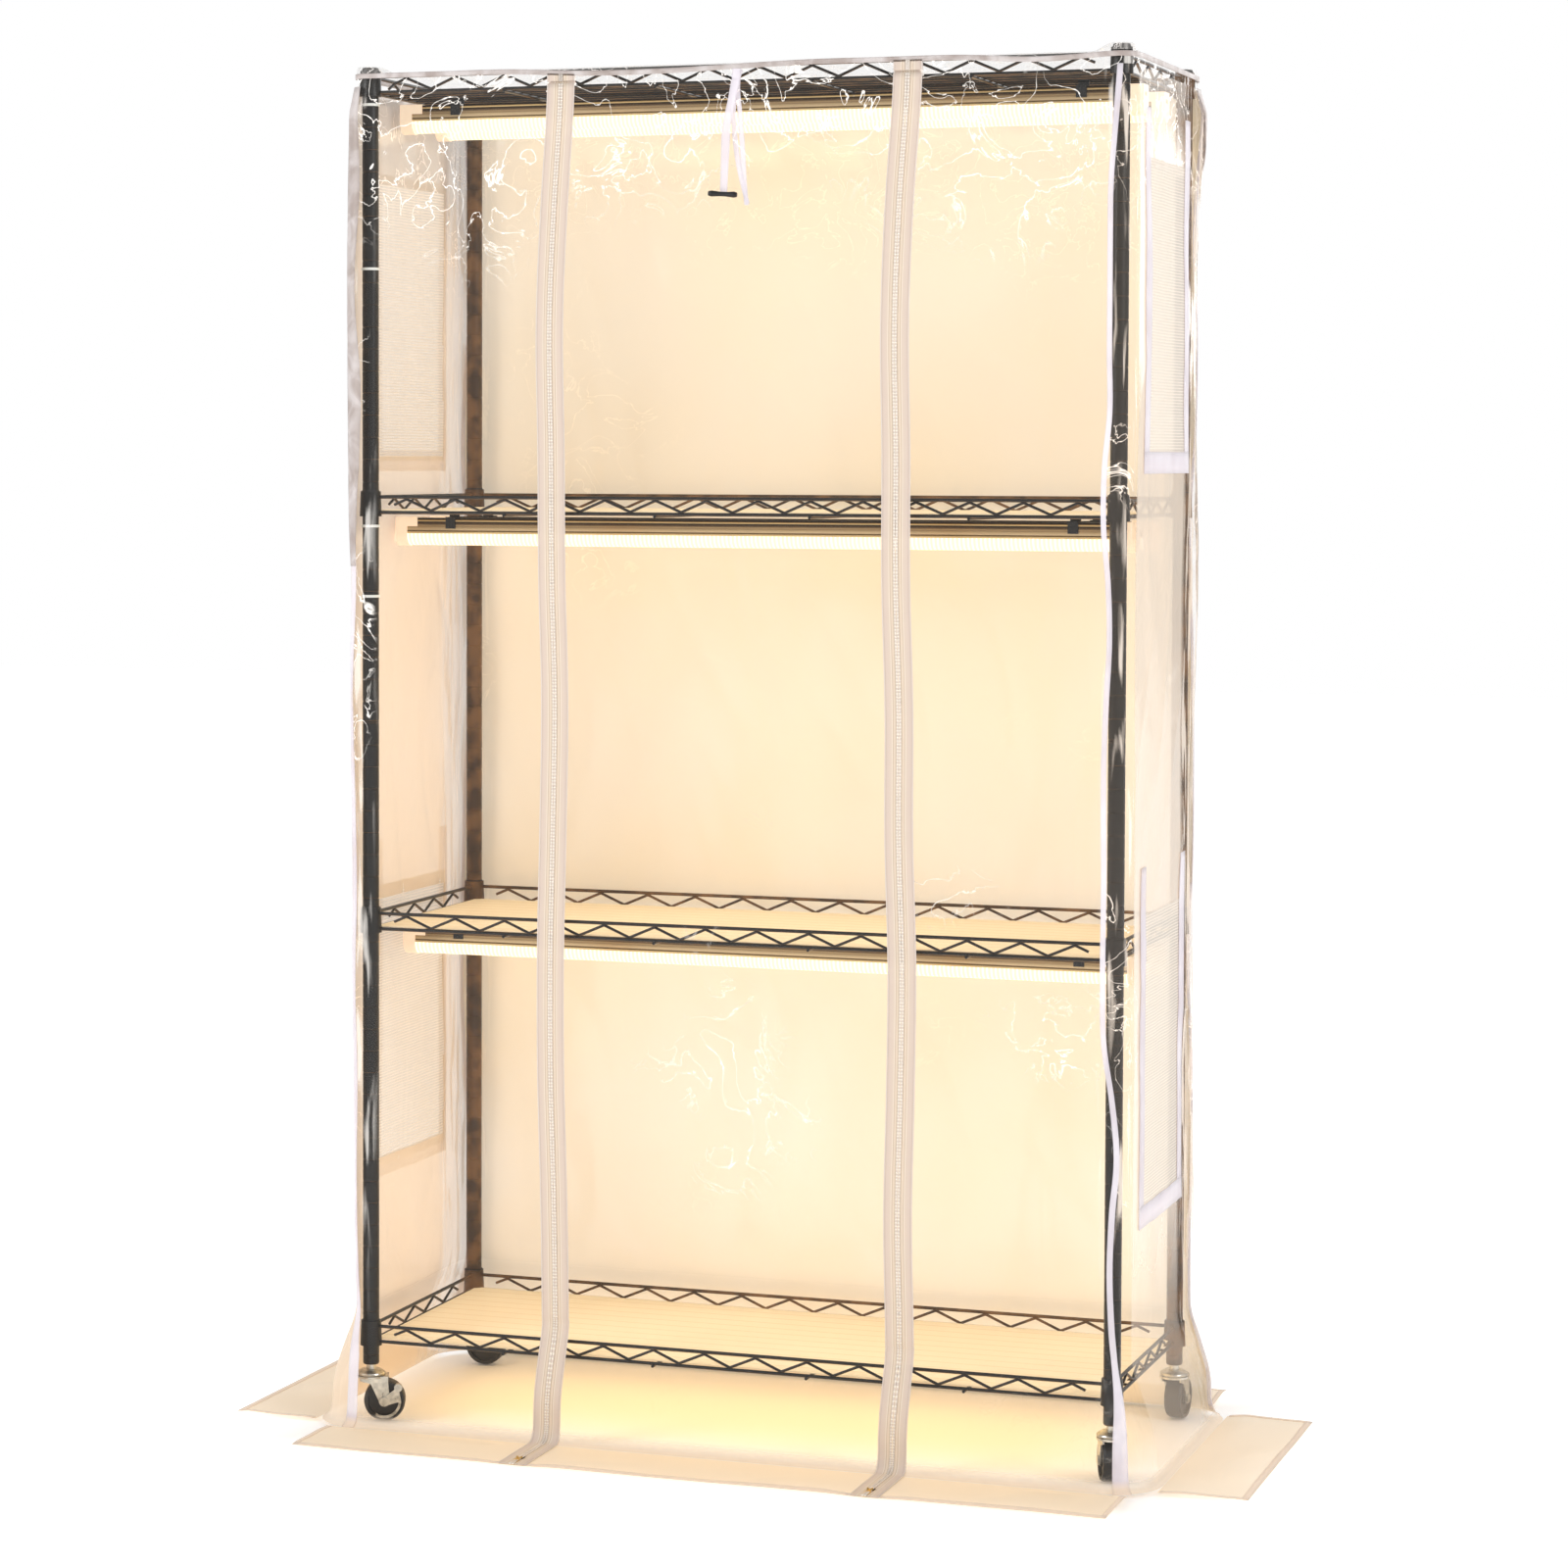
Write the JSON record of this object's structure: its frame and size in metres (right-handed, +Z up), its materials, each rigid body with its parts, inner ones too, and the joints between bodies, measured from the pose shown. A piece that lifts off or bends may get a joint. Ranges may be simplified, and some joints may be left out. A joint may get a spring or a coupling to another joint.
{
  "type": "plant stand with grow lights",
  "caption": "Wire plant stand with grooved posts, lit shelves with bar lamps, casters and a clear zipped film cover whose skirt lies on the floor.",
  "frame": {"origin": "middle of the footprint, on the floor", "axes": "+X along the shelves to the right, +Y to the back, +Z up"},
  "size_m": [1.1936, 0.6356, 1.5696],
  "materials": {
    "black_coat": "satin powder coat",
    "black_plastic": "moulded",
    "white_plastic": "moulded",
    "liner": "frosted sheet",
    "wheel": "moulded tread, matt",
    "zinc": "bright zinc plate",
    "aluminium": "ribbed extrusion",
    "diffuser": "frosted diffuser",
    "end_cap": "translucent moulding",
    "led_board": "white solder mask",
    "mesh": "fine woven mesh",
    "binding": "woven tape",
    "film": "clear film",
    "slider_metal": "plated die casting"
  },
  "bodies": {
    "stand": {"caster_stems": "zinc", "cover_back": "film", "cover_binding": "binding", "cover_front_left": "film", "cover_front_right": "film", "cover_left": "film", "cover_right": "film", "cover_roof": "film", "led_boards": "led_board", "light_clips": "black_plastic", "light_diffusers_lower": "diffuser", "light_diffusers_top": "diffuser", "light_diffusers_upper": "diffuser", "light_end_caps": "end_cap", "light_housings_lower": "aluminium", "light_housings_top": "aluminium", "light_housings_upper": "aluminium", "post_caps": "black_plastic", "post_inserts": "black_plastic", "post_rings": "white_plastic", "posts_lower": "black_coat", "posts_upper": "black_coat", "shelf_bottom": "black_coat", "shelf_liners": "liner", "shelf_lower": "black_coat", "shelf_sleeves_lower": "black_plastic", "shelf_sleeves_upper": "black_plastic", "shelf_top": "black_coat", "shelf_upper": "black_coat", "skirt_front": "film", "skirt_left": "film", "skirt_rear": "film", "skirt_right": "film", "tie_loop": "binding", "window_meshes": "mesh", "zip_tapes_cover": "binding"},
    "caster_front_left": {"caster_fork_front_left": "zinc", "caster_axle_front_left": "zinc"},
    "wheel_front_left": {"caster_wheel_front_left": "wheel"},
    "brake_front_left": {"brake_lever_front_left": "zinc"},
    "caster_front_right": {"caster_fork_front_right": "zinc", "caster_axle_front_right": "zinc"},
    "wheel_front_right": {"caster_wheel_front_right": "wheel"},
    "brake_front_right": {"brake_lever_front_right": "zinc"},
    "caster_rear_left": {"caster_fork_rear_left": "zinc", "caster_axle_rear_left": "zinc"},
    "wheel_rear_left": {"caster_wheel_rear_left": "wheel"},
    "caster_rear_right": {"caster_fork_rear_right": "zinc", "caster_axle_rear_right": "zinc"},
    "wheel_rear_right": {"caster_wheel_rear_right": "wheel"},
    "door": {"door_panel": "film", "door_skirt": "film", "zip_tapes_door": "binding", "door_binding": "binding"},
    "slider_left": {"zip_slider_left": "slider_metal"},
    "pull_left": {"zip_pull_left": "slider_metal"},
    "slider_right": {"zip_slider_right": "slider_metal"},
    "pull_right": {"zip_pull_right": "slider_metal"},
    "tie": {"tie_strap": "binding", "tie_toggle": "black_plastic"}
  },
  "joints": [
    {"name": "swivel_front_left", "type": "hinge", "parent": "stand", "child": "caster_front_left", "pos_m": [-0.44, -0.161, 0.0529], "axis": [0, 0, 1], "continuous": true},
    {"name": "roll_front_left", "type": "hinge", "parent": "caster_front_left", "child": "wheel_front_left", "pos_m": [-0.42496, -0.15553, 0.024], "axis": [-0.342, 0.9397, 0], "continuous": true},
    {"name": "brake_front_left", "type": "hinge", "parent": "caster_front_left", "child": "brake_front_left", "pos_m": [-0.42496, -0.15553, 0.024], "axis": [-0.342, 0.9397, 0], "range_deg": [0, 12]},
    {"name": "swivel_front_right", "type": "hinge", "parent": "stand", "child": "caster_front_right", "pos_m": [0.44, -0.161, 0.0529], "axis": [0, 0, 1], "continuous": true},
    {"name": "roll_front_right", "type": "hinge", "parent": "caster_front_right", "child": "wheel_front_right", "pos_m": [0.43401, -0.14616, 0.024], "axis": [-0.9272, -0.3746, 0], "continuous": true},
    {"name": "brake_front_right", "type": "hinge", "parent": "caster_front_right", "child": "brake_front_right", "pos_m": [0.43401, -0.14616, 0.024], "axis": [-0.9272, -0.3746, 0], "range_deg": [0, 12]},
    {"name": "swivel_rear_left", "type": "hinge", "parent": "stand", "child": "caster_rear_left", "pos_m": [-0.44, 0.161, 0.0529], "axis": [0, 0, 1], "continuous": true},
    {"name": "roll_rear_left", "type": "hinge", "parent": "caster_rear_left", "child": "wheel_rear_left", "pos_m": [-0.42406, 0.16239, 0.024], "axis": [-0.0872, 0.9962, 0], "continuous": true},
    {"name": "swivel_rear_right", "type": "hinge", "parent": "stand", "child": "caster_rear_right", "pos_m": [0.44, 0.161, 0.0529], "axis": [0, 0, 1], "continuous": true},
    {"name": "roll_rear_right", "type": "hinge", "parent": "caster_rear_right", "child": "wheel_rear_right", "pos_m": [0.44139, 0.17694, 0.024], "axis": [-0.9962, 0.0872, 0], "continuous": true},
    {"name": "door_lift", "type": "hinge", "parent": "stand", "child": "door", "pos_m": [0, -0.17735, 1.543], "axis": [-1, 0, 0], "range_deg": [0, 95]},
    {"name": "zip_left", "type": "slide", "parent": "door", "child": "slider_left", "axis": [0, 1, 0], "range_m": [0, 0.062]},
    {"name": "pull_left", "type": "hinge", "parent": "slider_left", "child": "pull_left", "pos_m": [-0.2036, -0.29275, 0.0052], "axis": [-1, 0, 0], "range_deg": [0, 100]},
    {"name": "zip_right", "type": "slide", "parent": "door", "child": "slider_right", "axis": [0, 1, 0], "range_m": [0, 0.062]},
    {"name": "pull_right", "type": "hinge", "parent": "slider_right", "child": "pull_right", "pos_m": [0.204, -0.29275, 0.0052], "axis": [-1, 0, 0], "range_deg": [0, 100]},
    {"name": "tie_swing", "type": "hinge", "parent": "door", "child": "tie", "pos_m": [0.008, -0.17765, 1.5415], "axis": [-1, 0, 0], "range_deg": [0, 80]}
  ]
}
